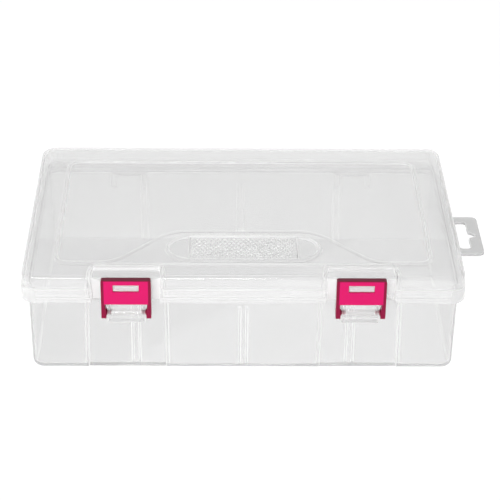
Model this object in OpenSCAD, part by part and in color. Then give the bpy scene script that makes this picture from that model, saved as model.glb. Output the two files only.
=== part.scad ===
// Photo keeper case: a clear tray, a clear lid that hinges at its back, and two snap latches at its front.
// Millimetres, +Z up. X is the width, -Y the front, and the origin the middle of the tray's underside.

/* [Case] */
// Width of the closed case over the lid, without the hang tab
case_w = 254; // [236:1:320]
// Depth of the closed case over the lid, without the hinges
case_d = 162.6; // [140:0.2:220]
// Height of the closed case
case_h = 65.2; // [58:0.2:100]
// Thickness of the moulded walls
wall = 1.8; // [1.4:0.1:2.2]
// Slope of the moulded walls from upright, in degrees
draft = 0.8; // [0.3:0.1:1]

/* [Tray] */
// How far the tray's rim lies inside the lid's outer face
rim_inset = 3.6; // [3.4:0.1:5]
// Height of the rim above the flange that the lid rests on
rim_h = 5.8; // [4:0.2:8]
// Thickness of the flange
flange_t = 2.2; // [1.6:0.1:3]
// Radius of the tray's upright corners
tray_corner_r = 8; // [7:0.5:12]
// Radius of the tray's bottom edge
tray_bottom_r = 3.8; // [2:0.2:5]
// Radius between the floor and the walls inside
floor_r = 2.6; // [1:0.2:3]

/* [Divider ribs] */
// Distance between two neighbouring pairs of ribs
rib_pitch = 62; // [40:1:75]
// Distance between the two ribs of a pair, centre to centre
rib_gap = 4; // [3:0.1:6]
// Thickness of a rib
rib_t = 1.2; // [0.8:0.1:1.6]
// How far a rib stands out from the wall
rib_depth = 2.6; // [1.5:0.1:4]
// How far the top of a rib lies below the rim
rib_drop = 15.2; // [8:0.2:25]

/* [Lid] */
// Height of the lid's side, from the top face to the lower edge
lid_side_h = 17.7; // [17:0.1:20]
// Radius of the lid's upright corners
lid_corner_r = 9; // [7:0.5:14]
// Radius of the lid's top edge
lid_top_r = 2.5; // [2:0.1:3.5]
// Thickness of the lip that hangs down past the flange
lip_t = 0.9; // [0.7:0.05:1]
// Height of the lip
lip_h = 3.1; // [2.6:0.1:4]
// How far the lower band of the lid's side stands out
band_out = 0.4; // [0.2:0.05:0.6]
// Height of the lower band
band_h = 8.9; // [7:0.1:10]

/* [Lid panel] */
// Depth of the sunk panel in the top of the lid
panel_depth = 1.2; // [0.8:0.1:1.4]
// Distance from the lid's side to the panel
panel_side = 20; // [12:0.5:24]
// Distance from the lid's back to the panel
panel_back = 20.8; // [12:0.2:30]
// Distance from the lid's front to the panel's front corners
panel_front = 17.8; // [16:0.2:20]
// Radius of the panel's corners
panel_corner_r = 6; // [3:0.5:10]
// Half width of the land in front of the panel, along its straight back line
land_half_w = 32.6; // [20:0.2:36]
// How far the land reaches back from the panel's front line
land_h = 36.3; // [33:0.1:45]
// Radius of the land's curves
land_r = 22; // [10:0.5:24]
// Angle of the straight stretch between the land's curves
land_angle = 48; // [44:1:60]

/* [Grip] */
// Length of the grip hollow
grip_l = 86.6; // [70:0.2:100]
// Width of the grip hollow
grip_w = 25.4; // [18:0.2:26]
// Depth of the grip hollow at its ends
grip_depth = 1.3; // [0.8:0.1:1.4]
// Length of the raised field in the middle of the grip
grip_field_l = 63; // [40:0.5:64]
// Depth of the field below the lid's top
grip_field_depth = 0.7; // [0.4:0.1:0.8]
// Distance from the lid's front to the middle of the grip
grip_front = 34.1; // [32:0.1:36]

/* [Latches] */
// Distance from the middle of the case to the middle of a latch
latch_x = 67; // [60:0.5:78]
// Width of a latch
latch_w = 28.5; // [24:0.1:32]
// How far the latch's top lies below the lid's top
latch_drop = 2.9; // [2.6:0.1:4]
// Thickness of the latch's plate
latch_t = 1.6; // [1.2:0.1:1.8]
// Thickness of the latch's turned-back edge
latch_edge_t = 1.5; // [1.2:0.1:1.8]
// Radius of the latch's top corners
latch_corner_r = 1.2; // [0.6:0.1:3]
// Width of a leg where it leaves the plate
leg_top_w = 2.2; // [1.8:0.1:2.6]
// Width of a leg at its lower end
leg_w = 2.8; // [2.4:0.1:3.2]
// Angle above level at which the back of a leg leaves its round end
leg_heel_angle = 20; // [10:1:30]
// How far the pivot lies below the lid's lower edge
pivot_drop = 7.7; // [7:0.1:9]
// How far the gap between the legs reaches above the pivot
leg_gap_h = 6.7; // [6.3:0.1:7]
// Width of the window
window_w = 14.7; // [10:0.1:17]
// Height of the window
window_h = 4.4; // [3.4:0.1:4.8]
// How far the window's top lies below the latch's top
window_drop = 3.1; // [2.9:0.1:3.6]
// Diameter of the latch's pivot pins
latch_pin_d = 2.2; // [1.6:0.1:2.6]
// Length of a latch pin inside the bar
latch_pin_l = 2; // [1.2:0.1:3]
// Height of the boss round a latch pin
pin_boss_h = 0.5; // [0.3:0.1:0.8]
// Width of the rim of the boss round a latch pin
pin_boss_rim = 0.8; // [0.5:0.1:1]

/* [Latch recess] */
// Depth of the recess in the lid's front at a latch
recess_depth = 4.8; // [4.6:0.1:5.4]
// Gap between the latch and the side of its recess, at the lid's lower edge
recess_side = 4.75; // [4:0.05:6]
// How much wider the recess is at the lid's top, on each side
recess_flare = 1.2; // [0.6:0.1:1.6]
// How far the finger hollow reaches back from the lid's front
hollow_reach = 12.1; // [11:0.1:13]
// Depth of the finger hollow below the lid's top, at its back
hollow_drop = 2.6; // [2:0.1:3]
// How far the hollow's floor falls towards the front
hollow_fall = 1; // [0.6:0.1:1.4]
// How far the hollow's back wall leans
hollow_lean = 1.2; // [0.6:0.1:2]
// How far the tooth's front lies behind the latch's face
tooth_back = 0.4; // [0.2:0.1:0.8]
// Chamfer on the tooth's upper front edge
tooth_chamfer = 0.8; // [0.4:0.1:1.2]

/* [Latch bracket] */
// Diameter of the bar that a latch turns on
bar_d = 3.8; // [3.4:0.1:4.2]
// Thickness of the cheeks that carry the bar
cheek_t = 1.2; // [1:0.1:3]
// Height of a cheek
cheek_h = 5.2; // [4.6:0.1:5.4]
// How far the apron below the bar stands out in front of the pivot
apron_out = 1.4; // [0.8:0.1:1.6]

/* [Hinges] */
// Distance from the middle of the case to the middle of a hinge
hinge_x = 72; // [60:0.5:90]
// Distance from the lid's back face to the hinge axis
hinge_back = 3; // [2.8:0.1:4]
// How far the hinge axis lies below the lid's lower edge
hinge_drop = 2.5; // [2.2:0.1:3.5]
// Diameter of the hinge pins
hinge_pin_d = 3; // [2.4:0.1:3.2]
// Length of the knuckle on the lid
knuckle_l = 16; // [10:0.5:24]
// Diameter of the knuckle on the lid
knuckle_d = 5.6; // [5:0.1:5.6]
// Angle at which the arm's lower face meets the knuckle, above level
arm_low_angle = 30; // [20:1:45]
// Angle at which the arm's upper face meets the knuckle, above level
arm_high_angle = 40; // [30:1:60]
// Thickness of the lugs on the tray
lug_t = 3.2; // [2.4:0.1:5]
// How far the lug's brace reaches below the hinge axis
lug_brace = 8; // [5:0.5:14]

/* [Hang tab] */
// How far the tab reaches out from the lid's side
tab_reach = 18; // [17:0.5:24]
// Width of the tab
tab_w = 45; // [40:0.5:60]
// Thickness of the tab
tab_t = 2; // [1.6:0.1:2.6]
// Radius of the tab's outer corners
tab_corner_r = 3.5; // [2:0.5:6]
// Length of the hang slot
slot_l = 32.6; // [28:0.2:34]
// Width of the hang slot without its notch
slot_w = 6.5; // [5:0.1:7]
// Radius of the hang slot's corners
slot_corner_r = 2; // [1:0.1:2.4]
// How far the notch reaches out past the slot
notch_h = 4.2; // [3:0.1:4.6]
// Width of the notch where it meets the slot
notch_w = 7.7; // [6:0.1:9]
// Width of the notch at its tip
notch_tip_w = 2; // [1:0.1:4]
// Distance from the notch to the tab's outer edge
notch_edge = 3.3; // [2.5:0.1:4]

/* [Fits] */
// Gap between the lid and the flange that it closes on
seat_gap = 0.3; // [0.2:0.05:0.4]
// Gap between pieces that move past each other
side_gap = 0.3; // [0.25:0.05:0.4]
// Gap between the rim and the back of a latch recess
rim_gap = 0.5; // [0.45:0.05:0.7]
// Gap between the back of the latch and the recess
latch_back_gap = 0.9; // [0.7:0.05:1.2]
// Gap between the back of a leg and the tray
leg_back_gap = 0.7; // [0.5:0.05:0.9]
// Gap between the apron and the latch's plate as the latch swings
apron_gap = 0.4; // [0.3:0.05:0.6]
// Radial gap between a pin and its hole
pin_gap = 0.05; // [0.02:0.01:0.08]

/* [Hidden] */
$fn = 96;

clear_plastic = [0.88, 0.90, 0.91, 0.45];
pink_plastic = [0.91, 0.14, 0.44];

// A cut starts this far outside what it cuts
over = 1;
// The hollow's taper starts this far outside the recess's side, so that their sides meet in one edge
taper_ease = 0.15;
slope = tan(draft);

half_w = case_w / 2;
half_d = case_d / 2;
lid_edge_z = case_h - lid_side_h;
lid_seat_z = lid_edge_z + lip_h;
band_z = lid_edge_z + band_h;
flange_z = lid_seat_z - seat_gap;
flange_inset = lip_t + seat_gap;
rim_z = flange_z + rim_h;
rim_half_w = half_w - rim_inset;
rim_half_d = half_d - rim_inset;
below_lid_z = lid_edge_z - 2 * seat_gap;

recess_half_w = latch_w / 2 + recess_side;
recess_y = -half_d + recess_depth;
bay_y = recess_y + wall + rim_gap;
bay_half_w = recess_half_w + recess_flare * (rim_z - lid_edge_z) / lid_side_h + wall + side_gap;

latch_front_y = -half_d;
latch_back_y = recess_y - latch_back_gap;
latch_top_z = case_h - latch_drop;
leg_r = (bay_y - leg_back_gap - latch_front_y) / 2;
pivot_y = latch_front_y + leg_r;
pivot_z = lid_edge_z - pivot_drop;
leg_gap_z = pivot_z + leg_gap_h;
window_z = latch_top_z - window_drop - window_h;
leg_in_x = latch_w / 2 - leg_w;
bracket_w = 2 * (leg_in_x - pin_boss_h - side_gap);

hinge_y = half_d + hinge_back;
hinge_z = lid_edge_z - hinge_drop;
lug_x = knuckle_l / 2 + side_gap;

tab_x = half_w + tab_reach;
notch_x = tab_x - notch_edge;
slot_x = notch_x - notch_h - slot_w;

// Fills a box with round upright corners; the child is its outline from a corner's centre outwards
module moulded_block(centre_x, centre_y, low_z, high_z) {
    translate([-centre_x, -centre_y, low_z]) cube([2 * centre_x, 2 * centre_y, high_z - low_z]);
    for (turn = [0, 180]) rotate(turn) {
        translate([centre_x, centre_y, 0]) rotate([90, 0, 0]) linear_extrude(2 * centre_y) children();
        translate([-centre_x, centre_y, 0]) rotate([90, 0, 90]) linear_extrude(2 * centre_x) children();
        translate([centre_x, centre_y, 0]) rotate_extrude(angle = 90) children();
        translate([-centre_x, centre_y, 0]) rotate(90) rotate_extrude(angle = 90) children();
    }
}

// Outline of a wall that leans out as it rises from low_z, with its lower edge rounded
module rising_outline(low_r, low_z, high_z, edge_r) {
    arc_x = low_r + edge_r * slope - edge_r / cos(draft);
    arc_z = low_z + edge_r;
    touch = [arc_x + edge_r * cos(draft), arc_z - edge_r * sin(draft)];
    high_r = low_r + (high_z - low_z) * slope;
    polygon([[0, low_z], [arc_x, low_z], [arc_x, arc_z], touch, [high_r, high_z], [0, high_z]]);
    intersection() {
        translate([arc_x, arc_z]) circle(edge_r);
        translate([arc_x, low_z]) square(edge_r);
    }
}

// The same outline upside down, for the lid: it leans in as it rises, with its top edge rounded
module falling_outline(high_r, low_z, high_z, edge_r) {
    translate([0, low_z + high_z]) mirror([0, 1]) rising_outline(high_r, low_z, high_z, edge_r);
}

// Puts one at each side, from what is drawn at X = 0
module pair(x) {
    for (side = [-1, 1]) translate([side * x, 0, 0]) children();
}

// Extrudes a profile drawn in Y and Z along X, centred on X = 0
module along_x(length) {
    translate([-length / 2, 0, 0]) rotate([90, 0, 90]) linear_extrude(length) children();
}

// Extrudes a view of the front, drawn in X and Z, from front_y to back_y
module along_y(front_y, back_y) {
    translate([0, back_y, 0]) rotate([90, 0, 0]) linear_extrude(back_y - front_y) children();
}

// A round pin or hole along X, centred on x
module x_pin(x, y, z, r, length) {
    translate([x - length / 2, y, z]) rotate([0, 90, 0]) cylinder(r = r, h = length);
}

// Plan of the lid's outside, drawn in by inset
module lid_plan(inset) {
    corner_x = half_w - lid_corner_r;
    corner_y = half_d - lid_corner_r;
    square([2 * corner_x, 2 * (half_d - inset)], center = true);
    square([2 * (half_w - inset), 2 * corner_y], center = true);
    for (x = [-1, 1], y = [-1, 1]) translate([x * corner_x, y * corner_y]) circle(lid_corner_r - inset);
}

// Half width of a latch recess at a height
function recess_half_at(z) = recess_half_w + recess_flare * (z - lid_edge_z) / lid_side_h;

// Plan of a latch recess at the lip, grown by grow
module recess_plan(grow) {
    half = recess_half_at(lid_seat_z) + grow;
    translate([-half, -half_d - over]) square([2 * half, recess_depth + over + grow]);
}

// Tray

// The tray's outer shape, or its hollow with the wall taken off as inset
module tray_block(inset, low_z, high_z, edge_r) {
    low_r = tray_corner_r - inset - (rim_z - low_z) * slope;
    moulded_block(rim_half_w - tray_corner_r, rim_half_d - tray_corner_r, low_z, high_z)
        rising_outline(low_r, low_z, high_z, edge_r);
}

// The bay in the tray's front behind a latch, grown by grow
module tray_bay(grow) {
    top_z = rim_z + over;
    top_half = bay_half_w + grow;
    low_half = top_half + (top_z + over) * slope;
    along_y(-half_d - over, bay_y + grow)
        polygon([[-low_half, -over], [low_half, -over], [top_half, top_z], [-top_half, top_z]]);
}

// Where the inside of the front wall stands at x, which is further back inside a bay
function front_wall_y(x) =
    abs(abs(x) - latch_x) < bay_half_w + wall ? bay_y + wall : -rim_half_d + wall + rim_z * slope;

// The ribs that a divider slides between, in front and at the back
module divider_ribs() {
    rib_z = rim_z - rib_drop;
    for (pair_x = [-1, 0, 1] * rib_pitch, side = [-0.5, 0.5] * rib_gap) {
        x = pair_x + side - rib_t / 2;
        front_y = front_wall_y(pair_x);
        back_y = rim_half_d - wall - rim_z * slope - rib_depth;
        translate([x, -half_d, 0]) cube([rib_t, front_y + rib_depth + half_d, rib_z]);
        translate([x, back_y, 0]) cube([rib_t, half_d - back_y, rib_z]);
    }
}

module tray_hollow() {
    difference() {
        tray_block(wall, wall, rim_z + over, floor_r);
        pair(latch_x) tray_bay(wall);
        divider_ribs();
    }
}

// The flange all round, which the lid closes on
module tray_flange() {
    translate([0, 0, flange_z - flange_t]) linear_extrude(flange_t) difference() {
        lid_plan(flange_inset);
        pair(latch_x) recess_plan(flange_inset);
    }
}

// The cheeks, bar and apron that carry a latch
module latch_bracket() {
    root_y = bay_y + wall / 2;
    apron_top_z = pivot_z - cheek_h / 2;
    apron_z = pivot_z - leg_gap_h + apron_gap;
    x_pin(0, pivot_y, pivot_z, bar_d / 2, bracket_w);
    pair(bracket_w / 2 - cheek_t / 2) along_x(cheek_t) {
        translate([pivot_y, pivot_z]) circle(d = cheek_h);
        translate([pivot_y, apron_top_z]) square([root_y - pivot_y, cheek_h]);
    }
    along_x(bracket_w) translate([pivot_y - apron_out, apron_z])
        square([root_y - pivot_y + apron_out, apron_top_z - apron_z]);
}

// The holes in the ends of the bar
module latch_pin_holes() {
    depth = latch_pin_l + side_gap;
    pair(bracket_w / 2 - depth / 2 + over / 2)
        x_pin(0, pivot_y, pivot_z, latch_pin_d / 2 + pin_gap, depth + over);
}

// The two lugs of a hinge, with their holes
module hinge_lugs() {
    root_y = rim_half_d - wall / 2;
    difference() {
        pair(lug_x + lug_t / 2) along_x(lug_t) {
            translate([hinge_y, hinge_z]) circle(hinge_back);
            polygon([
                [root_y, below_lid_z],
                [hinge_y, below_lid_z],
                [hinge_y, hinge_z - hinge_back],
                [root_y, hinge_z - lug_brace]
            ]);
        }
        x_pin(0, hinge_y, hinge_z, hinge_pin_d / 2 + pin_gap, 2 * (lug_x + lug_t + over));
    }
}

// Plan of the hang slot: a long slot with a notch that the hook sits in
module hang_slot() {
    translate([slot_x + slot_corner_r, -slot_l / 2 + slot_corner_r])
        square([slot_w - 2 * slot_corner_r, slot_l - 2 * slot_corner_r]);
    translate([slot_x, -slot_l / 2 + slot_corner_r]) square([slot_w, slot_l - 2 * slot_corner_r]);
    translate([slot_x + slot_corner_r, -slot_l / 2]) square([slot_w - 2 * slot_corner_r, slot_l]);
    for (x = [slot_x + slot_corner_r, slot_x + slot_w - slot_corner_r], side = [-1, 1])
        translate([x, side * (slot_l / 2 - slot_corner_r)]) circle(slot_corner_r);
    foot_x = slot_x + slot_w - over;
    polygon([
        [foot_x, -notch_w / 2],
        [slot_x + slot_w, -notch_w / 2],
        [notch_x, -notch_tip_w / 2],
        [notch_x, notch_tip_w / 2],
        [slot_x + slot_w, notch_w / 2],
        [foot_x, notch_w / 2]
    ]);
}

module hang_tab() {
    root_x = rim_half_w - wall / 2;
    corner_x = tab_x - tab_corner_r;
    translate([0, 0, below_lid_z - tab_t]) linear_extrude(tab_t) difference() {
        union() {
            translate([root_x, -tab_w / 2]) square([corner_x - root_x, tab_w]);
            translate([root_x, -tab_w / 2 + tab_corner_r])
                square([tab_x - root_x, tab_w - 2 * tab_corner_r]);
            for (side = [-1, 1])
                translate([corner_x, side * (tab_w / 2 - tab_corner_r)]) circle(tab_corner_r);
        }
        hang_slot();
    }
}

module base_tray() {
    color(clear_plastic) difference() {
        union() {
            difference() {
                union() {
                    difference() {
                        tray_block(0, 0, rim_z, tray_bottom_r);
                        pair(latch_x) tray_bay(0);
                    }
                    tray_flange();
                }
                tray_hollow();
            }
            pair(latch_x) latch_bracket();
            pair(hinge_x) hinge_lugs();
            hang_tab();
        }
        pair(latch_x) latch_pin_holes();
    }
}

// Lid

// The lid's outer shape above its band, or its hollow with the wall taken off as inset
module lid_block(inset, low_z, high_z, edge_r) {
    high_r = lid_corner_r - band_out - inset - (high_z - lid_edge_z) * slope;
    moulded_block(half_w - lid_corner_r, half_d - lid_corner_r, low_z, high_z)
        falling_outline(high_r, low_z, high_z, edge_r);
}

// The recess for a latch, with the hollow behind its top that a fingertip reaches into, grown by grow
module latch_recess(grow) {
    low_z = lid_edge_z - over;
    high_z = case_h + over;
    front_y = -half_d - over;
    wall_y = recess_y + grow;
    back_y = -half_d + hollow_reach + grow;
    floor_z = case_h - hollow_drop - grow;
    low_half = recess_half_at(low_z - over) + grow;
    high_half = recess_half_at(high_z + over) + grow;
    back_half = recess_half_w + grow;
    taper = (recess_flare + taper_ease) / (hollow_reach - recess_depth);
    front_half = back_half + taper * (back_y - front_y + over);
    intersection() {
        along_x(2 * front_half + over) polygon([
            [front_y, low_z],
            [wall_y, low_z],
            [wall_y, floor_z - hollow_fall],
            [back_y - hollow_lean, floor_z],
            [back_y, case_h],
            [back_y, high_z],
            [front_y, high_z]
        ]);
        along_y(front_y - over, back_y + over) polygon([
            [-low_half, low_z - over],
            [low_half, low_z - over],
            [high_half, high_z + over],
            [-high_half, high_z + over]
        ]);
        translate([0, 0, low_z - over]) linear_extrude(high_z - low_z + 2 * over) polygon([
            [-front_half, front_y - over],
            [front_half, front_y - over],
            [back_half, back_y],
            [-back_half, back_y]
        ]);
    }
}

// Plan of the land in front of the panel, which curves up from the front line to a straight back line
module land_plan() {
    low_y = -half_d + panel_front;
    high_y = low_y + land_h;
    bend = land_r * [sin(land_angle), cos(land_angle)];
    straight_h = land_h - 2 * (land_r - bend[1]);
    low_x = land_half_w + 2 * bend[0] + straight_h / tan(land_angle);
    high_centre = [land_half_w, high_y - land_r];
    low_centre = [low_x, low_y + land_r];
    for (side = [0, 1]) mirror([side, 0]) difference() {
        union() {
            polygon([
                [-over, low_y - over],
                [low_x, low_y - over],
                [low_x, low_y],
                low_centre - bend,
                high_centre + bend,
                [land_half_w, high_y],
                [-over, high_y]
            ]);
            intersection() {
                translate(high_centre) circle(land_r);
                translate(high_centre) square(land_r);
            }
        }
        translate(low_centre) circle(land_r);
    }
}

// Plan of the sunk panel, grown by grow
module panel_plan(grow) {
    corner_x = half_w - panel_side - panel_corner_r;
    low_y = -half_d + panel_front + panel_corner_r;
    high_y = half_d - panel_back - panel_corner_r;
    round_r = panel_corner_r + grow;
    translate([-corner_x - round_r, low_y]) square([2 * (corner_x + round_r), high_y - low_y]);
    translate([-corner_x, low_y - round_r]) square([2 * corner_x, high_y - low_y + 2 * round_r]);
    for (x = [-corner_x, corner_x], y = [low_y, high_y]) translate([x, y]) circle(round_r);
}

// Plan of the grip, grown by grow
module grip_plan(grow) {
    straight = (grip_l - grip_w) / 2;
    translate([0, -half_d + grip_front]) {
        square([2 * straight, grip_w + 2 * grow], center = true);
        for (x = [-straight, straight]) translate([x, 0]) circle(grip_w / 2 + grow);
    }
}

// The grip: a hollow with deeper ends
module grip_hollow() {
    translate([0, 0, case_h - grip_field_depth]) linear_extrude(grip_field_depth + over) grip_plan(0);
    translate([0, 0, case_h - grip_depth]) linear_extrude(grip_depth + over) difference() {
        grip_plan(0);
        translate([0, -half_d + grip_front]) square([grip_field_l, grip_w + over], center = true);
    }
}

// What the lid's hollow leaves standing, so that the walls keep their thickness round each recess
module lid_backing() {
    pair(latch_x) latch_recess(wall);
    translate([0, 0, case_h - wall - panel_depth]) linear_extrude(wall + panel_depth) difference() {
        panel_plan(wall);
        land_plan();
    }
    translate([0, 0, case_h - wall - grip_depth]) linear_extrude(wall + grip_depth) grip_plan(wall);
}

// The space inside the lip, above the flange
module lip_hollow() {
    translate([0, 0, lid_edge_z - over]) linear_extrude(lip_h + over) difference() {
        lid_plan(lip_t);
        pair(latch_x) recess_plan(lip_t);
    }
}

// The tooth that a latch's window snaps over
module latch_tooth() {
    front_y = latch_front_y + tooth_back;
    root_y = recess_y + wall / 2;
    low_z = window_z + side_gap;
    high_z = window_z + window_h - side_gap;
    along_x(window_w - 2 * side_gap) polygon([
        [front_y, low_z],
        [root_y, low_z],
        [root_y, high_z],
        [front_y + tooth_chamfer, high_z],
        [front_y, high_z - tooth_chamfer]
    ]);
}

// The knuckle of a hinge, with its two pins and the arm that joins it to the lid
module hinge_knuckle() {
    knuckle_r = knuckle_d / 2;
    root_y = half_d - lip_t / 2;
    x_pin(0, hinge_y, hinge_z, hinge_pin_d / 2, 2 * (lug_x + lug_t));
    along_x(knuckle_l) {
        translate([hinge_y, hinge_z]) circle(knuckle_r);
        polygon([
            [root_y, lid_edge_z],
            [hinge_y - knuckle_r * cos(arm_low_angle), hinge_z + knuckle_r * sin(arm_low_angle)],
            [hinge_y, hinge_z],
            [hinge_y + knuckle_r * cos(arm_high_angle), hinge_z + knuckle_r * sin(arm_high_angle)],
            [half_d, band_z - over],
            [root_y, band_z - over]
        ]);
    }
}

module lid() {
    color(clear_plastic) {
        difference() {
            union() {
                lid_block(0, lid_edge_z, case_h, lid_top_r);
                translate([0, 0, lid_edge_z]) linear_extrude(band_h) lid_plan(0);
            }
            pair(latch_x) latch_recess(0);
            translate([0, 0, case_h - panel_depth]) linear_extrude(panel_depth + over) difference() {
                panel_plan(0);
                land_plan();
            }
            grip_hollow();
            difference() {
                lid_block(wall, lid_edge_z - over, case_h - wall, lid_top_r - wall / 2);
                lid_backing();
            }
            lip_hollow();
        }
        pair(latch_x) latch_tooth();
        pair(hinge_x) hinge_knuckle();
    }
}

// Latches

// The front of the latch's plate above low_z, drawn in by inset at its sides and top
module latch_face(inset, low_z) {
    half = latch_w / 2 - inset;
    high_z = latch_top_z - inset;
    round_r = latch_corner_r;
    translate([-half, low_z]) square([2 * half, high_z - round_r - low_z]);
    translate([-half + round_r, low_z]) square([2 * (half - round_r), high_z - low_z]);
    for (side = [-1, 1]) translate([side * (half - round_r), high_z - round_r]) circle(round_r);
}

// The plate with its window
module latch_plate() {
    along_y(latch_front_y, latch_front_y + latch_t) difference() {
        latch_face(0, leg_gap_z);
        translate([-window_w / 2, window_z]) square([window_w, window_h]);
    }
}

// The edge turned back at the plate's sides and top
module latch_edge() {
    along_y(latch_front_y, latch_back_y) difference() {
        latch_face(0, leg_gap_z);
        latch_face(latch_edge_t, leg_gap_z - over);
    }
}

module latch_legs() {
    low_z = pivot_z - leg_r;
    for (side = [0, 1]) mirror([side, 0, 0]) intersection() {
        along_x(latch_w) {
            translate([pivot_y, pivot_z]) circle(leg_r);
            polygon([
                [latch_front_y, pivot_z],
                [pivot_y, pivot_z],
                [pivot_y + leg_r * cos(leg_heel_angle), pivot_z + leg_r * sin(leg_heel_angle)],
                [latch_back_y, leg_gap_z - over / 2],
                [latch_back_y, leg_gap_z + over],
                [latch_front_y, leg_gap_z + over]
            ]);
        }
        along_y(latch_front_y - over, bay_y) polygon([
            [leg_in_x, low_z],
            [latch_w / 2, low_z],
            [latch_w / 2, leg_gap_z + over],
            [latch_w / 2 - leg_top_w, leg_gap_z + over],
            [latch_w / 2 - leg_top_w, leg_gap_z]
        ]);
    }
}

// The pins that turn in the bar's ends, each on a low boss
module latch_pins() {
    boss_l = pin_boss_h + leg_w / 2;
    pin_l = latch_pin_l + side_gap + boss_l;
    boss_x = bracket_w / 2 + side_gap;
    pair(boss_x + boss_l / 2) x_pin(0, pivot_y, pivot_z, latch_pin_d / 2 + pin_boss_rim, boss_l);
    pair(boss_x + boss_l - pin_l / 2) x_pin(0, pivot_y, pivot_z, latch_pin_d / 2, pin_l);
}

module latch() {
    color(pink_plastic) {
        latch_plate();
        latch_edge();
        latch_legs();
        latch_pins();
    }
}

module latch_left() translate([-latch_x, 0, 0]) latch();
module latch_right() translate([latch_x, 0, 0]) latch();

base_tray();
lid();
latch_left();
latch_right();
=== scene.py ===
"""A clear photo keeper case with a hinged lid and two pink snap latches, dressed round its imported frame.

Metres, +Z up. X is the case's width, -Y its front, and the origin the middle of the tray's underside.
"""

import math

import bmesh
import bpy
from bpy.props import FloatProperty, FloatVectorProperty, IntProperty, PointerProperty
from mathutils import Matrix, Vector


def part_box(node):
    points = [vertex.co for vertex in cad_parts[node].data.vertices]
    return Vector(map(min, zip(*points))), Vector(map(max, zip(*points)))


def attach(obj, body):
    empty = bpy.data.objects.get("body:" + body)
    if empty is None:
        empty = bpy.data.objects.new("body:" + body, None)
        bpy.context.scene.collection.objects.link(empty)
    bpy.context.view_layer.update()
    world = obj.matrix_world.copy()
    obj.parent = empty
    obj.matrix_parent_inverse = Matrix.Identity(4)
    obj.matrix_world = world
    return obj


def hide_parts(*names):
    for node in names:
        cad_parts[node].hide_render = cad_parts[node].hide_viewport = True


bl_info = {
    "name": "Photo keeper case",
    "version": (1, 0, 0),
    "blender": (4, 5, 0),
    "location": "View3D > Sidebar > Case",
    "description": "Dresses the frame of a clear storage case with latches, grip and materials",
    "category": "Add Mesh",
}

MM = 0.001
# How far apart two places may lie and still count as one
SLACK = 0.02 * MM
# The cosine above which two directions count as one
STRAIGHT = 0.999
# A face looks along an axis when its normal's part along it is more than this
LOOKS = 0.9
# A face is upright when its normal's part along Z is less than this
UPRIGHT = 0.5
# The tray's and the lid's material slots
WALL, THICK, LAP, TAB = range(4)

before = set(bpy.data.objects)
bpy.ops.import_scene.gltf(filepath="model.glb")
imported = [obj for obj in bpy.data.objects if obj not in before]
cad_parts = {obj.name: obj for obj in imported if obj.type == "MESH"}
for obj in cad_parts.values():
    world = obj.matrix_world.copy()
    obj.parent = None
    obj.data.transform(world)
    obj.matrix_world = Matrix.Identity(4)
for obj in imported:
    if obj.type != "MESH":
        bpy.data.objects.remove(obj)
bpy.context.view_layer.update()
tray_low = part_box("base_tray")[0]
lid_low, lid_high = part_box("lid")
latch_low, latch_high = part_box("latch_right")


def linear(hex_colour):
    """An sRGB hex colour as the linear values that a shader takes."""
    values = [int(hex_colour[i : i + 2], 16) / 255 for i in (1, 3, 5)]
    return [v / 12.92 if v <= 0.04045 else ((v + 0.055) / 1.055) ** 2.4 for v in values]


def length_property(name, description, millimetres):
    """A size that a user can change, in metres."""
    return FloatProperty(
        name=name, description=description, default=millimetres * MM, unit="LENGTH", precision=5
    )


def angle_property(name, description, degrees):
    """An angle that a user can change."""
    return FloatProperty(
        name=name, description=description, default=math.radians(degrees), subtype="ANGLE"
    )


def colour_property(name, description, hex_colour):
    """A colour that a user can change."""
    return FloatVectorProperty(
        name=name,
        description=description,
        default=linear(hex_colour),
        subtype="COLOR",
        size=3,
        min=0,
        max=1,
    )


def share_property(name, description, share):
    """A share between 0 and 1 that a user can change."""
    return FloatProperty(
        name=name, description=description, default=share, min=0, max=1, subtype="FACTOR"
    )


class CaseSizes(bpy.types.PropertyGroup):
    """Sizes of the moulded details that the frame leaves to the finish"""

    edge_r: length_property("Edge radius", "Radius of the moulded edges", 0.35)
    top_r: length_property("Top radius", "Radius of the lid's outer top edge", 0.8)
    step_r: length_property("Step radius", "Radius of the edges round the panel and the grip", 0.5)
    fine_r: length_property("Fine radius", "Radius of the edges of thin steps and lips", 0.12)
    band_drop: length_property("Band drop", "Distance from the lid's top to its band", 8.8)
    hollow_l: length_property("Hollow length", "Length of the finger hollow at a latch", 38)
    hollow_w: length_property("Hollow width", "Width of the finger hollow from the lid's front", 11)


class CaseLatch(bpy.types.PropertyGroup):
    """Sizes of a latch that its box in the frame doesn't give"""

    plate_t: length_property("Plate thickness", "Thickness of the latch's plate", 1.6)
    edge_t: length_property("Edge thickness", "Thickness of the edge turned back round the plate", 1.5)
    edge_depth: length_property("Edge depth", "Depth of the turned-back edge from the latch's face", 3.9)
    leg_r: length_property("Leg radius", "Radius of the round end of a leg", 3.2)
    leg_w: length_property("Leg width", "Width of a leg at its round end", 2.8)
    leg_top_w: length_property("Leg top width", "Width of a leg where it leaves the plate", 2.2)
    gap_h: length_property("Gap height", "Height of the gap between the legs above the pivot", 6.7)
    window_w: length_property("Window width", "Width of the window that the lid's tooth stands in", 14.7)
    window_h: length_property("Window height", "Height of the window", 4.4)
    window_drop: length_property("Window drop", "Distance from the latch's top to the window", 3.1)
    boss_r: length_property("Boss radius", "Radius of the boss round a pivot pin", 1.9)
    boss_h: length_property("Boss height", "Height of the boss round a pivot pin", 0.5)
    pin_r: length_property("Pin radius", "Radius of a pivot pin", 1.1)
    pin_l: length_property("Pin length", "Length of a pivot pin beyond its boss", 2.3)
    corner_r: length_property("Corner radius", "Radius of the plate's two upper corners", 1.2)
    edge_r: length_property("Edge radius", "Radius of the latch's edges", 0.35)


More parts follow.
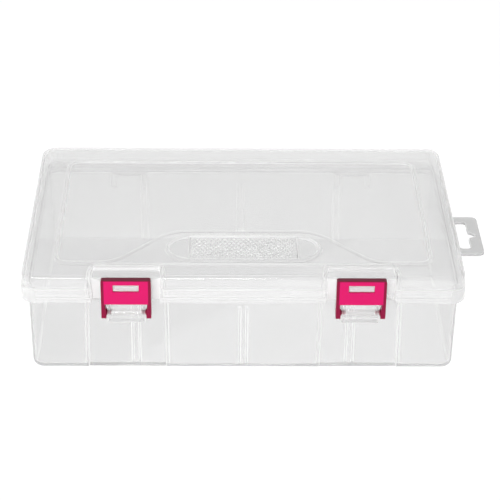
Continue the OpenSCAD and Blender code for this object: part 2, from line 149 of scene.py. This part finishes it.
class CaseGrip(bpy.types.PropertyGroup):
    """Sizes of the dotted field in the lid's grip"""

    field_l: length_property("Field length", "Length of the dotted field", 61)
    field_w: length_property("Field width", "Width of the dotted field", 22)
    field_drop: length_property("Field drop", "Depth of the field below the lid's top", 0.7)
    front: length_property("Grip front", "Distance from the lid's front to the middle of the grip", 34.1)
    pitch: length_property("Dot pitch", "Distance between the middles of neighbouring dots in a row", 2.7)
    dot_r: length_property("Dot radius", "Radius of a dot", 0.8)
    dot_h: length_property("Dot height", "Height of a dot", 0.35)
    segments: IntProperty(name="Dot segments", description="Sides of a dot", default=10, min=6, max=24)


class CaseColours(bpy.types.PropertyGroup):
    """Colours, haze and light of the two plastics and of the stage"""

    clear: colour_property("Clear plastic", "Tint of the clear polypropylene", "#EFEFEF")
    haze: colour_property("Wall haze", "Colour of the light that a clear wall scatters", "#E1E1E1")
    # The whiter haze is partly the scatter of thick plastic and partly painted light on rounded edges,
    # ribs, laps, teeth and grip dots
    white: colour_property("Thick haze", "The same colour where the clear plastic is thick", "#FCFCFC")
    # The tab's darker haze is painted shade
    tab_painted_shade: colour_property("Tab haze", "The same colour in the solid hang tab", "#D3D3D3")
    wall_share: share_property("Wall share", "Share of the light that a clear wall scatters", 0.12)
    lap_share: share_property("Lap share", "The same share where two clear walls lie close together", 0.2)
    thick_share: share_property("Thick share", "The same share at ribs and edges, seen edge-on", 0.35)
    pink: colour_property("Pink plastic", "Colour of the latches' thin plate", "#D00762")
    # The deep pink also paints the shade on the latches' turned-back edges and legs
    deep_pink_painted_shade: colour_property("Deep pink", "Colour of the latches where the plastic is thick", "#860436")
    floor: colour_property("Floor", "Colour of the floor without its light", "#9A9A9A")
    floor_glow: share_property("Floor glow", "How brightly the lit floor shows", 0.88)
    under_light: share_property("Under light", "How brightly the lit floor shines on the case", 0.8)
    room_light: share_property("Room light", "How brightly the background lights the case", 0.39)


class CaseCamera(bpy.types.PropertyGroup):
    """The camera, placed as for the product photograph"""

    distance: length_property("Distance", "Distance from the camera to the point that it turns about", 1135)
    side: length_property("Side", "How far the camera's aim lies to the right of the case's middle", 4.83)
    height: length_property("Height", "Height of the camera's aim above the floor", 35.89)
    elevation: angle_property("Elevation", "Angle at which the camera looks down", 30)
    turn: angle_property("Turn", "Angle by which the case is turned to the camera", 1.184)
    roll: angle_property("Roll", "Angle by which the camera is tipped sideways", 0.766)
    lens: FloatProperty(
        name="Lens", description="Focal length on a 36 mm frame, in millimetres", default=133.85
    )


def settings(group):
    """One of the scene's groups of settings."""
    return getattr(bpy.context.scene, group)


# Modelling helpers


def deselect_all():
    """Leaves nothing selected, the frame's nodes included."""
    if bpy.context.object and bpy.context.object.mode != "OBJECT":
        bpy.ops.object.mode_set(mode="OBJECT")
    bpy.ops.object.select_all(action="DESELECT")


def activate(piece):
    """Makes piece the only selected object and the active one."""
    deselect_all()
    piece.select_set(True)
    bpy.context.view_layer.objects.active = piece


def apply_modifier(piece, kind, **values):
    """Adds a modifier to piece and applies it."""
    activate(piece)
    modifier = piece.modifiers.new(kind.title(), kind)
    for name, value in values.items():
        setattr(modifier, name, value)
    bpy.ops.object.modifier_apply(modifier=modifier.name)


def pick(mesh, kind, test):
    """In edit mode, selects only the faces, edges or verts that pass test."""
    bpy.ops.mesh.select_mode(type={"faces": "FACE", "edges": "EDGE", "verts": "VERT"}[kind])
    bpy.ops.mesh.select_all(action="DESELECT")
    bm = bmesh.from_edit_mesh(mesh)
    for element in getattr(bm, kind):
        if test(element):
            element.select_set(True)
    bm.select_flush_mode()
    bmesh.update_edit_mesh(mesh)


def box_between(name, low, high):
    """A box from its low to its high corner, ready to be shaped."""
    deselect_all()
    low, high = Vector(low), Vector(high)
    bpy.ops.mesh.primitive_cube_add(size=1, location=(low + high) / 2)
    piece = bpy.context.object
    piece.name = name
    piece.scale = high - low
    bpy.ops.object.transform_apply(location=True, rotation=True, scale=True)
    return piece


def rod_along_x(name, start, end, radius, sides=32):
    """A round rod along X from start to end, both given at its axis, ready to be shaped."""
    deselect_all()
    start, end = Vector(start), Vector(end)
    bpy.ops.mesh.primitive_cylinder_add(
        vertices=sides,
        radius=radius,
        depth=(end - start).length,
        location=(start + end) / 2,
        rotation=(0, math.pi / 2, 0),
    )
    piece = bpy.context.object
    piece.name = name
    bpy.ops.object.transform_apply(location=True, rotation=True, scale=True)
    return piece


def cut(point, normal, keep="both"):
    """In edit mode, cuts the mesh with a plane; keep is both sides, or the one ahead of or behind it."""
    bpy.ops.mesh.select_all(action="SELECT")
    bpy.ops.mesh.bisect(
        plane_co=point,
        plane_no=normal,
        use_fill=keep != "both",
        clear_inner=keep == "ahead",
        clear_outer=keep == "behind",
    )


def facing(direction, offset=None):
    """A test for faces that look along direction and, if offset is given, lie that far along it."""
    direction = Vector(direction)

    def test(face):
        looks = face.normal.dot(direction) > STRAIGHT
        place = face.calc_center_median().dot(direction)
        return looks and (offset is None or abs(place - offset) < SLACK)

    return test


def along(direction, place):
    """A test for edges that run along direction and whose middle passes the test place."""
    direction = Vector(direction)

    def test(edge):
        start, end = (vert.co for vert in edge.verts)
        runs = abs((end - start).normalized().dot(direction)) > STRAIGHT
        return runs and place((start + end) / 2)

    return test


def join_solid(piece, other):
    """Joins another closed piece to this one and deletes the other."""
    apply_modifier(piece, "BOOLEAN", object=other, operation="UNION", solver="EXACT")
    bpy.data.objects.remove(other)
    activate(piece)
    bpy.ops.object.mode_set(mode="EDIT")
    bpy.ops.mesh.select_all(action="SELECT")
    bpy.ops.mesh.dissolve_limited(angle_limit=math.radians(0.5))
    bpy.ops.object.mode_set(mode="OBJECT")


def set_materials(piece, materials):
    """Gives piece its material slots."""
    piece.data.materials.clear()
    for material in materials:
        piece.data.materials.append(material)


def finish_piece(piece, node, body, smooth=40):
    """Shades piece, ties it to its body and, if node is given, puts it in that node's place."""
    activate(piece)
    bpy.ops.object.transform_apply(location=True, rotation=True, scale=True)
    bpy.ops.object.shade_smooth_by_angle(angle=math.radians(smooth))
    apply_modifier(piece, "WEIGHTED_NORMAL", keep_sharp=True)
    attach(piece, body)
    if node:
        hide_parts(node)


def merged_copy(node, name, materials):
    """A copy of a frame node's mesh as one closed surface, without the edges that lie in flat faces."""
    piece = bpy.data.objects.new(name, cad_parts[node].data.copy())
    bpy.context.scene.collection.objects.link(piece)
    activate(piece)
    bpy.ops.object.mode_set(mode="EDIT")
    bpy.ops.mesh.select_all(action="SELECT")
    bpy.ops.mesh.customdata_custom_splitnormals_clear()
    bpy.ops.mesh.remove_doubles(threshold=0.001 * MM)
    bpy.ops.mesh.dissolve_limited(angle_limit=math.radians(0.3))
    bpy.ops.object.mode_set(mode="OBJECT")
    set_materials(piece, materials)
    return piece


def round_edges(piece, radius_at, sharp=30):
    """Rounds each sharp edge of piece to the radius that radius_at gives there, in thick plastic whose
    whiter haze paints a highlight along it.
    """
    activate(piece)
    bm = bmesh.new()
    bm.from_mesh(piece.data)
    weight = bm.edges.layers.float.new("bevel_weight_edge")
    radii = {
        edge: radius_at((edge.verts[0].co + edge.verts[1].co) / 2)
        for edge in bm.edges
        if edge.is_manifold and edge.calc_face_angle() > math.radians(sharp)
    }
    widest = max(radii.values())
    for edge, radius in radii.items():
        edge[weight] = radius / widest
    bm.to_mesh(piece.data)
    bm.free()
    apply_modifier(
        piece,
        "BEVEL",
        width=widest,
        segments=3,
        limit_method="WEIGHT",
        material=THICK,
        use_clamp_overlap=False,
        miter_outer="MITER_ARC",
    )


# Materials


def add_node(tree, kind, values=(), links=()):
    """Adds a node; values sets properties and inputs, links joins inputs to other nodes' outputs."""
    node = tree.nodes.new(kind)
    for name, value in dict(values).items():
        if isinstance(name, str) and hasattr(node, name):
            setattr(node, name, value)
        else:
            socket_of(node.inputs, name).default_value = value
    for name, output in dict(links).items():
        tree.links.new(output, socket_of(node.inputs, name))
    return node


def socket_of(sockets, name):
    """A socket by its number, its name, or its identifier where a node has several of one name."""
    if isinstance(name, str) and name not in sockets:
        return next(socket for socket in sockets if socket.identifier == name)
    return sockets[name]


def new_material(name):
    """An empty node material and its tree."""
    material = bpy.data.materials.new(name)
    material.use_nodes = True
    material.node_tree.nodes.clear()
    return material, material.node_tree


def clear_polypropylene(name, haze_share, haze_colour):
    """Natural polypropylene, injection moulded: clear, a little milky, with a glossy, uneven skin."""
    if name in bpy.data.materials:
        return bpy.data.materials[name]
    colours = settings("case_colours")
    material, tree = new_material(name)
    place = add_node(tree, "ShaderNodeTexCoord").outputs["Object"]
    # The melt's flow leaves faint waves in the skin
    wave_pitch = 9 * MM
    waves = add_node(
        tree, "ShaderNodeTexNoise", {"Scale": 1 / wave_pitch, "Detail": 2.0}, {"Vector": place}
    )
    skin = add_node(
        tree,
        "ShaderNodeBump",
        {"Strength": 0.04, "Distance": 0.5 * MM},
        {"Height": waves.outputs["Fac"]},
    )
    # A thin wall hardly bends what is seen through it, so the body's IOR is low and the gloss is a coat's
    glass = add_node(
        tree,
        "ShaderNodeBsdfPrincipled",
        {
            "Base Color": (*colours.clear, 1),
            "Transmission Weight": 1.0,
            "Roughness": 0.05,
            "IOR": 1.15,
            "Coat Weight": 1.0,
            "Coat Roughness": 0.1,
            "Coat IOR": 1.49,
        },
        {"Normal": skin.outputs["Normal"], "Coat Normal": skin.outputs["Normal"]},
    )
    # The haze: crystallites in the plastic scatter a share of the light both ways
    forward = add_node(tree, "ShaderNodeBsdfTranslucent", {"Color": (*haze_colour, 1)})
    back = add_node(
        tree,
        "ShaderNodeBsdfPrincipled",
        {"Base Color": (*haze_colour, 1), "Roughness": 0.12, "IOR": 1.49},
        {"Normal": skin.outputs["Normal"]},
    )
    haze = add_node(
        tree, "ShaderNodeMixShader", {0: 0.5}, {1: forward.outputs["BSDF"], 2: back.outputs["BSDF"]}
    )
    # A wall that is seen at a slant has a longer way through the plastic, and looks whiter
    slant_share = 2.5 * haze_share
    slant = add_node(tree, "ShaderNodeLayerWeight", {"Blend": 0.5})
    share = add_node(
        tree,
        "ShaderNodeMapRange",
        {"To Min": haze_share, "To Max": slant_share},
        {"Value": slant.outputs["Facing"]},
    )
    plastic = add_node(
        tree,
        "ShaderNodeMixShader",
        links={0: share.outputs["Result"], 1: glass.outputs["BSDF"], 2: haze.outputs["Shader"]},
    )
    # Lamps shine through, as they do through a thin clear wall, and lose a little at each surface
    path = add_node(tree, "ShaderNodeLightPath")
    open_way = add_node(tree, "ShaderNodeBsdfTransparent", {"Color": (*colours.clear, 1)})
    surface = add_node(
        tree,
        "ShaderNodeMixShader",
        links={
            0: path.outputs["Is Shadow Ray"],
            1: plastic.outputs["Shader"],
            2: open_way.outputs["BSDF"],
        },
    )
    add_node(tree, "ShaderNodeOutputMaterial", links={"Surface": surface.outputs["Shader"]})
    return material


def clear_materials():
    """One clear plastic, more or less milky, in the order of its slots: wall, thick, lap and tab; the thick
    and lap copies have a whiter haze as painted light, the tab a darker one as painted shade.
    """
    colours = settings("case_colours")
    return (
        clear_polypropylene("clear_polypropylene_wall", colours.wall_share, colours.haze),
        clear_polypropylene("clear_polypropylene_thick", colours.thick_share, colours.white),
        clear_polypropylene("clear_polypropylene_lap", colours.lap_share, colours.white),
        clear_polypropylene("clear_polypropylene_tab", colours.thick_share, colours.tab_painted_shade),
    )


def beyond(tree, value, edge, softness=0.3 * MM):
    """0 where value is below edge and 1 above it, with a soft step between."""
    step = add_node(
        tree,
        "ShaderNodeMapRange",
        {"interpolation_type": "SMOOTHSTEP", "From Min": edge - softness, "From Max": edge},
        {"Value": value},
    )
    return step.outputs["Result"]


def painted_shade_on_thick_plastic(tree, place):
    """1 on a latch's turned-back edges and legs, where the plastic is thick and painted shade falls, and 0
    on its thin plate.
    """
    sizes = settings("case_latch")
    middle_x = (latch_low.x + latch_high.x) / 2
    half = (latch_high.x - latch_low.x) / 2
    gap = latch_low.z + sizes.leg_r + sizes.gap_h
    axes = add_node(tree, "ShaderNodeSeparateXYZ", links={"Vector": place})
    right = add_node(tree, "ShaderNodeMath", {"operation": "ABSOLUTE"}, {0: axes.outputs["X"]})
    inward = add_node(
        tree, "ShaderNodeMath", {"operation": "SUBTRACT", 1: middle_x}, {0: right.outputs["Value"]}
    )
    across = add_node(tree, "ShaderNodeMath", {"operation": "ABSOLUTE"}, {0: inward.outputs["Value"]})
    below = add_node(tree, "ShaderNodeMath", {"operation": "SUBTRACT", 0: 0.0}, {1: axes.outputs["Z"]})
    side = beyond(tree, across.outputs["Value"], half - sizes.edge_t)
    head = beyond(tree, axes.outputs["Z"], latch_high.z - sizes.edge_r)
    foot = beyond(tree, below.outputs["Value"], -gap)
    ends = add_node(tree, "ShaderNodeMath", {"operation": "MAXIMUM"}, {0: head, 1: foot})
    thick = add_node(tree, "ShaderNodeMath", {"operation": "MAXIMUM"}, {0: side, 1: ends.outputs["Value"]})
    return thick.outputs["Value"]


def pink_polypropylene():
    """Pigmented polypropylene, injection moulded: satin magenta, deeper where it is thick, and darker there
    as painted shade.
    """
    colours = settings("case_colours")
    material, tree = new_material("magenta_polypropylene")
    place = add_node(tree, "ShaderNodeTexCoord").outputs["Object"]
    # The thick edges and legs get the deep pink: partly the depth of colour of thick plastic, partly
    # painted shade
    colour = add_node(
        tree,
        "ShaderNodeMix",
        {"data_type": "RGBA", "A_Color": (*colours.pink, 1), "B_Color": (*colours.deep_pink_painted_shade, 1)},
        {"Factor_Float": painted_shade_on_thick_plastic(tree, place)},
    )
    # The mould's fine grain, drawn this coarse so that it shows
    grain_size = 1 * MM
    grain = add_node(
        tree, "ShaderNodeTexNoise", {"Scale": 1 / grain_size, "Detail": 3.0}, {"Vector": place}
    )
    gloss = add_node(
        tree,
        "ShaderNodeMapRange",
        {"To Min": 0.25, "To Max": 0.38},
        {"Value": grain.outputs["Fac"]},
    )
    skin = add_node(
        tree,
        "ShaderNodeBump",
        {"Strength": 0.08, "Distance": 0.1 * MM},
        {"Height": grain.outputs["Fac"]},
    )
    plastic = add_node(
        tree,
        "ShaderNodeBsdfPrincipled",
        {
            "IOR": 1.49,
            "Specular IOR Level": 0.2,
            "Subsurface Weight": 0.2,
            "Subsurface Scale": 1 * MM,
            "Subsurface Radius": (1.0, 0.25, 0.35),
        },
        {
            "Base Color": socket_of(colour.outputs, "Result_Color"),
            "Roughness": gloss.outputs["Result"],
            "Normal": skin.outputs["Normal"],
        },
    )
    add_node(tree, "ShaderNodeOutputMaterial", links={"Surface": plastic.outputs["BSDF"]})
    return material


def seen_ray(tree):
    """1 for rays that show the background: from the camera, from gloss and through clear plastic."""
    path = add_node(tree, "ShaderNodeLightPath")
    gloss = add_node(
        tree,
        "ShaderNodeMath",
        {"operation": "MAXIMUM"},
        {0: path.outputs["Is Camera Ray"], 1: path.outputs["Is Glossy Ray"]},
    )
    through = add_node(
        tree,
        "ShaderNodeMath",
        {"operation": "MAXIMUM"},
        {0: gloss.outputs["Value"], 1: path.outputs["Is Transmission Ray"]},
    )
    return through.outputs["Value"]


def matt_floor():
    """White painted board: matt, lit from within, so that only the case's soft shadow shows on it."""
    colours = settings("case_colours")
    material, tree = new_material("matt_floor")
    board = add_node(tree, "ShaderNodeBsdfDiffuse", {"Color": (*colours.floor, 1)})
    lift = add_node(
        tree,
        "ShaderNodeMapRange",
        {"To Min": colours.under_light, "To Max": colours.floor_glow},
        {"Value": seen_ray(tree)},
    )
    glow = add_node(tree, "ShaderNodeEmission", links={"Strength": lift.outputs["Result"]})
    both = add_node(
        tree, "ShaderNodeAddShader", links={0: board.outputs["BSDF"], 1: glow.outputs["Emission"]}
    )
    add_node(tree, "ShaderNodeOutputMaterial", links={"Surface": both.outputs["Shader"]})
    return material


# Pieces of the case


def lid_radius(point):
    """Radius of the lid's edge at a point: fine low down, soft round the panel, wide round the top."""
    sizes = settings("case_sizes")
    lip_h = 12 * MM
    top_depth = 2.2 * MM
    rim_w = 5 * MM
    back_rim_w = 10 * MM
    if point.z < lid_low.z + lip_h:
        return sizes.fine_r
    if point.z < lid_high.z - top_depth:
        return sizes.edge_r
    at_side = abs(point.x) > lid_high.x - rim_w
    at_end = not lid_low.y + rim_w < point.y < lid_high.y - back_rim_w
    return sizes.top_r if at_side or at_end else sizes.step_r


def choose_tray_plastic(mesh):
    """Ribs and bays' sides get the thick plastic, the tab a darker one as painted shade, and the underside
    a milky one.
    """
    end_wall = 8 * MM
    foot_h = 1 * MM
    for face in mesh.polygons:
        if abs(face.normal.x) > LOOKS and abs(face.center.x) < lid_high.x - end_wall:
            face.material_index = THICK
        if face.center.x > lid_high.x:
            face.material_index = TAB
        if face.normal.z < -LOOKS and face.center.z < tray_low.z + foot_h:
            face.material_index = LAP


class CASE_OT_tray(bpy.types.Operator):
    """Make the tray from its node in the frame, with its moulded edges rounded"""

    bl_idname = "case.tray"
    bl_label = "Tray"

    def execute(self, context):
        tray = merged_copy("base_tray", "tray_moulding", clear_materials())
        choose_tray_plastic(tray.data)
        edge_r = settings("case_sizes").edge_r
        round_edges(tray, lambda point: edge_r)
        finish_piece(tray, "base_tray", "base")
        return {"FINISHED"}


def choose_lid_plastic(mesh):
    """Upright faces low down get a milky plastic, and so do those in the back half as painted light; the
    teeth get the thick one, whose whiter haze paints light on them.
    """
    band_top = lid_high.z - settings("case_sizes").band_drop
    latch = settings("case_latch")
    latch_x = (latch_low.x + latch_high.x) / 2
    window_top = latch_high.z - latch.window_drop
    for face in mesh.polygons:
        middle = face.center
        if abs(face.normal.z) < UPRIGHT and (middle.z < band_top or middle.y > 0):
            face.material_index = LAP
        beside = abs(abs(middle.x) - latch_x) < latch.window_w / 2
        if beside and middle.y < 0 and window_top - latch.window_h < middle.z < window_top:
            face.material_index = THICK


def clear_hollows(mesh):
    """Gives the edges of the finger hollows the walls' plastic, so that no painted highlight makes them
    stand out.
    """
    sizes = settings("case_sizes")
    latch_x = (latch_low.x + latch_high.x) / 2
    for face in mesh.polygons:
        middle = face.center
        beside = abs(abs(middle.x) - latch_x) < sizes.hollow_l / 2
        if beside and middle.y < lid_low.y + sizes.hollow_w and middle.z > latch_high.z:
            face.material_index = WALL


class CASE_OT_lid(bpy.types.Operator):
    """Make the lid from its node in the frame, with its moulded edges rounded"""

    bl_idname = "case.lid"
    bl_label = "Lid"

    def execute(self, context):
        lid = merged_copy("lid", "lid_moulding", clear_materials())
        choose_lid_plastic(lid.data)
        round_edges(lid, lid_radius)
        clear_hollows(lid.data)
        finish_piece(lid, "lid", "lid")
        return {"FINISHED"}


class CASE_OT_grip_dots(bpy.types.Operator):
    """Model one dot of the grip and set copies of it in staggered rows"""

    bl_idname = "case.grip_dots"
    bl_label = "Grip dots"

    def execute(self, context):
        sizes = settings("case_grip")
        floor_z = lid_high.z - sizes.field_drop
        dot = grip_dot(floor_z)
        dots = dot_rows(dot.data)
        bpy.data.objects.remove(dot)
        dots.location.y = lid_low.y + sizes.front
        # The dots get the thick plastic, whose whiter haze paints their bright spots
        set_materials(dots, [clear_materials()[THICK]])
        finish_piece(dots, None, "lid", smooth=60)
        return {"FINISHED"}


def grip_dot(floor_z):
    """One low dome at the middle of the field, its foot just under the field's surface."""
    sizes = settings("case_grip")
    deselect_all()
    foot = 0.05 * MM
    round_h = 0.6 * sizes.dot_h
    bpy.ops.mesh.primitive_cylinder_add(
        vertices=sizes.segments,
        radius=sizes.dot_r,
        depth=sizes.dot_h + foot,
        location=(0, 0, floor_z + (sizes.dot_h - foot) / 2),
    )
    dot = bpy.context.object
    bpy.ops.object.transform_apply(location=True)
    bpy.ops.object.mode_set(mode="EDIT")
    pick(dot.data, "faces", facing((0, 0, 1)))
    bpy.ops.mesh.bevel(offset=round_h, segments=2)
    bpy.ops.object.mode_set(mode="OBJECT")
    return dot


def dot_rows(dot):
    """Copies of the dot's mesh over the field, every other row moved by half a pitch."""
    sizes = settings("case_grip")
    row_pitch = sizes.pitch * math.sqrt(3) / 2
    rows = int((sizes.field_w - 2 * sizes.dot_r) / row_pitch) // 2
    bm = bmesh.new()
    for row in range(-rows, rows + 1):
        shift = 0.5 * sizes.pitch * (row % 2)
        columns = int((sizes.field_l / 2 - sizes.dot_r - shift) / sizes.pitch)
        for column in range(-columns - (row % 2), columns + 1):
            before = len(bm.verts)
            bm.from_mesh(dot)
            bm.verts.ensure_lookup_table()
            step = Vector((column * sizes.pitch + shift, row * row_pitch, 0))
            bmesh.ops.translate(bm, vec=step, verts=bm.verts[before:])
    mesh = bpy.data.meshes.new("grip_dots")
    bm.to_mesh(mesh)
    bm.free()
    dots = bpy.data.objects.new("grip_dots", mesh)
    bpy.context.scene.collection.objects.link(dots)
    return dots


def latch_plate(half, front, gap, top):
    """The latch's plate with its edges turned back: a box hollowed from behind and cut open below."""
    sizes = settings("case_latch")
    back = front + sizes.edge_depth
    # The box reaches lower by twice a side's width, which the cut at the gap takes off again
    plate = box_between("latch", (-half, front, gap - 2 * sizes.leg_top_w), (half, back, top))
    bpy.ops.object.mode_set(mode="EDIT")
    pick(plate.data, "faces", facing((0, 1, 0)))
    bpy.ops.mesh.inset(thickness=sizes.leg_top_w)
    bpy.ops.mesh.extrude_region_move(
        TRANSFORM_OT_translate={"value": (0, sizes.plate_t - sizes.edge_depth, 0)}
    )
    # The top edge is thinner than the sides, which run on into the legs
    inner_top = top - sizes.leg_top_w
    pick(plate.data, "verts", lambda vert: abs(vert.co.z - inner_top) < SLACK)
    bpy.ops.transform.translate(value=(0, 0, sizes.leg_top_w - sizes.edge_t))
    pick(plate.data, "edges", along((0, 1, 0), lambda middle: middle.z > top - SLACK))
    bpy.ops.mesh.bevel(offset=sizes.corner_r, segments=4, clamp_overlap=True)
    cut((0, 0, gap), (0, 0, 1), keep="ahead")
    pierce_window(plate, top - sizes.window_drop)
    bpy.ops.object.mode_set(mode="OBJECT")
    return plate


def pierce_window(plate, window_top):
    """In edit mode, opens the window in the latch's plate."""
    sizes = settings("case_latch")
    window_low = window_top - sizes.window_h
    for side in (-1, 1):
        cut((side * sizes.window_w / 2, 0, 0), (1, 0, 0))
    for height in (window_low, window_top):
        cut((0, 0, height), (0, 0, 1))

    def in_window(face):
        middle = face.calc_center_median()
        return (
            abs(face.normal.y) > STRAIGHT
            and abs(middle.x) < sizes.window_w / 2
            and window_low < middle.z < window_top
        )

    pick(plate.data, "faces", in_window)
    bpy.ops.mesh.bridge_edge_loops()


def draw_out_legs(latch, half, front, gap):
    """Draws two legs down from the plate's sides, deeper and wider below, each with a round end."""
    sizes = settings("case_latch")
    pivot_z = latch_low.z + sizes.leg_r
    root = half - sizes.leg_top_w
    activate(latch)
    bpy.ops.object.mode_set(mode="EDIT")
    for side in (-1, 1):
        cut((side * root, 0, 0), (1, 0, 0))
    is_down = facing((0, 0, -1), -gap)
    pick(latch.data, "faces", lambda face: is_down(face) and abs(face.calc_center_median().x) > root)
    bpy.ops.mesh.extrude_region_move(TRANSFORM_OT_translate={"value": (0, 0, pivot_z - gap)})
    middle_y = front + sizes.edge_depth / 2
    pick(latch.data, "verts", lambda vert: vert.co.z < pivot_z + SLACK and vert.co.y > middle_y)
    bpy.ops.transform.translate(value=(0, 2 * sizes.leg_r - sizes.edge_depth, 0))
    for side in (-1, 1):
        pick(
            latch.data,
            "verts",
            lambda vert: vert.co.z < pivot_z + SLACK and 0 < side * vert.co.x < root + SLACK,
        )
        bpy.ops.transform.translate(value=(side * (sizes.leg_top_w - sizes.leg_w), 0, 0))
    pick(latch.data, "faces", facing((0, 0, -1), -pivot_z))
    bpy.ops.mesh.extrude_region_move(TRANSFORM_OT_translate={"value": (0, 0, -sizes.leg_r)})
    pick(latch.data, "edges", along((1, 0, 0), lambda middle: middle.z < latch_low.z + SLACK))
    # A hair less than the full radius keeps the two rounds from meeting in one line
    bpy.ops.mesh.bevel(offset=sizes.leg_r - SLACK, segments=8, clamp_overlap=True)
    bpy.ops.object.mode_set(mode="OBJECT")


def latch_pins(half, front):
    """A pivot pin on its boss at the inner side of each leg."""
    sizes = settings("case_latch")
    inner = half - sizes.leg_w
    start = Vector((inner - sizes.boss_h, front + sizes.leg_r, latch_low.z + sizes.leg_r))
    end = start + Vector((sizes.boss_h + sizes.leg_w / 2, 0, 0))
    pins = rod_along_x("latch_pins", start, end, sizes.boss_r)
    bpy.ops.object.mode_set(mode="EDIT")
    pick(pins.data, "faces", facing((-1, 0, 0)))
    bpy.ops.mesh.inset(thickness=sizes.boss_r - sizes.pin_r)
    bpy.ops.mesh.extrude_region_move(TRANSFORM_OT_translate={"value": (-sizes.pin_l, 0, 0)})
    bpy.ops.object.mode_set(mode="OBJECT")
    apply_modifier(pins, "MIRROR", use_axis=(True, False, False), use_mirror_merge=False)
    return pins


class CASE_OT_latches(bpy.types.Operator):
    """Model one latch and put a copy at each side"""

    bl_idname = "case.latches"
    bl_label = "Latches"

    def execute(self, context):
        sizes = settings("case_latch")
        half = (latch_high.x - latch_low.x) / 2
        front = latch_low.y
        gap = latch_low.z + sizes.leg_r + sizes.gap_h
        latch = latch_plate(half, front, gap, latch_high.z)
        draw_out_legs(latch, half, front, gap)
        join_solid(latch, latch_pins(half, front))
        apply_modifier(
            latch,
            "BEVEL",
            width=sizes.edge_r,
            segments=3,
            limit_method="ANGLE",
            angle_limit=math.radians(40),
        )
        # Rounding leaves faces without area where two rounds meet
        bpy.ops.object.mode_set(mode="EDIT")
        bpy.ops.mesh.select_all(action="SELECT")
        bpy.ops.mesh.remove_doubles(threshold=0.01 * MM)
        bpy.ops.object.mode_set(mode="OBJECT")
        set_materials(latch, [pink_polypropylene()])
        place = (latch_low.x + latch_high.x) / 2
        for side, name in ((-1, "latch_left"), (1, "latch_right")):
            piece = bpy.data.objects.new(f"{name}_moulding", latch.data.copy())
            context.scene.collection.objects.link(piece)
            piece.location.x = side * place
            finish_piece(piece, name, name)
        bpy.data.objects.remove(latch)
        return {"FINISHED"}


class CASE_OT_stage(bpy.types.Operator):
    """Make the floor, the lamp, the background and the camera"""

    bl_idname = "case.stage"
    bl_label = "Stage"

    def execute(self, context):
        make_floor()
        make_world()
        # It stands low, so that the lid doesn't mirror it in views from behind
        make_lamp("front_softbox", place=(-0.5, -1.7, 0.25), size=(1.2, 0.3), watts=20.5)
        make_camera()
        context.scene.view_settings.view_transform = "Standard"
        return {"FINISHED"}


def make_floor():
    """A wide floor just below the case."""
    width = 8
    gap = 0.1 * MM
    deselect_all()
    bpy.ops.mesh.primitive_plane_add(size=width, location=(0, 0, tray_low.z - gap))
    floor = bpy.context.object
    floor.name = "floor"
    floor.data.materials.append(matt_floor())


def make_world():
    """Even light from all round, and white where the background shows."""
    room_light = settings("case_colours").room_light
    world = bpy.data.worlds.new("studio")
    bpy.context.scene.world = world
    world.use_nodes = True
    tree = world.node_tree
    tree.nodes.clear()
    level = add_node(
        tree, "ShaderNodeMapRange", {"To Min": room_light, "To Max": 1.0}, {"Value": seen_ray(tree)}
    )
    light = add_node(
        tree, "ShaderNodeBackground", {"Color": (1, 1, 1, 1)}, {"Strength": level.outputs["Result"]}
    )
    add_node(tree, "ShaderNodeOutputWorld", links={"Surface": light.outputs["Background"]})


def make_lamp(name, place, size, watts):
    """A softbox that looks at the case."""
    deselect_all()
    bpy.ops.object.light_add(type="AREA", location=place)
    lamp = bpy.context.object
    lamp.name = name
    lamp.data.shape = "RECTANGLE"
    lamp.data.size, lamp.data.size_y = size
    lamp.data.energy = watts
    # Seen through the clear walls from behind, it would be a glaring patch, so it is hidden there
    lamp.visible_transmission = False
    aim = Vector((0, 0, lid_high.z / 2)) - lamp.location
    lamp.rotation_euler = aim.to_track_quat("-Z", "Y").to_euler()


def make_camera():
    """The camera at the photograph's place: turned about its aim, tipped down, rolled and drawn back."""
    view = settings("case_camera")
    deselect_all()
    bpy.ops.object.camera_add()
    camera = bpy.context.object
    camera.data.sensor_width = 36
    camera.data.lens = view.lens
    camera.data.clip_start = 0.05
    camera.matrix_world = (
        Matrix.Rotation(-view.turn, 4, "Z")
        @ Matrix.Translation((view.side, 0, view.height))
        @ Matrix.Rotation(math.pi / 2 - view.elevation, 4, "X")
        @ Matrix.Rotation(view.roll, 4, "Z")
        @ Matrix.Translation((0, 0, view.distance))
    )
    bpy.context.scene.camera = camera


class CASE_PT_panel(bpy.types.Panel):
    """Lists the settings and the pieces of the case"""

    bl_idname = "CASE_PT_panel"
    bl_label = "Photo keeper case"
    bl_space_type = "VIEW_3D"
    bl_region_type = "UI"
    bl_category = "Case"

    def draw(self, context):
        for name, group in GROUPS.items():
            box = self.layout.box()
            for key in group.__annotations__:
                box.prop(getattr(context.scene, name), key)
        for piece in PIECES:
            self.layout.operator(piece.bl_idname)


GROUPS = {
    "case_sizes": CaseSizes,
    "case_latch": CaseLatch,
    "case_grip": CaseGrip,
    "case_colours": CaseColours,
    "case_camera": CaseCamera,
}
PIECES = (CASE_OT_tray, CASE_OT_lid, CASE_OT_grip_dots, CASE_OT_latches, CASE_OT_stage)


def register():
    """Registers the settings, the operators and the panel."""
    for name, group in GROUPS.items():
        bpy.utils.register_class(group)
        setattr(bpy.types.Scene, name, PointerProperty(type=group))
    for part in (*PIECES, CASE_PT_panel):
        bpy.utils.register_class(part)


def unregister():
    """Takes away what register added, in the opposite order."""
    for part in (CASE_PT_panel, *reversed(PIECES)):
        bpy.utils.unregister_class(part)
    for name, group in reversed(GROUPS.items()):
        delattr(bpy.types.Scene, name)
        bpy.utils.unregister_class(group)


def main():
    """Makes the case and its stage."""
    register()
    bpy.ops.case.tray()
    bpy.ops.case.lid()
    bpy.ops.case.grip_dots()
    bpy.ops.case.latches()
    bpy.ops.case.stage()


if __name__ == "__main__":
    main()
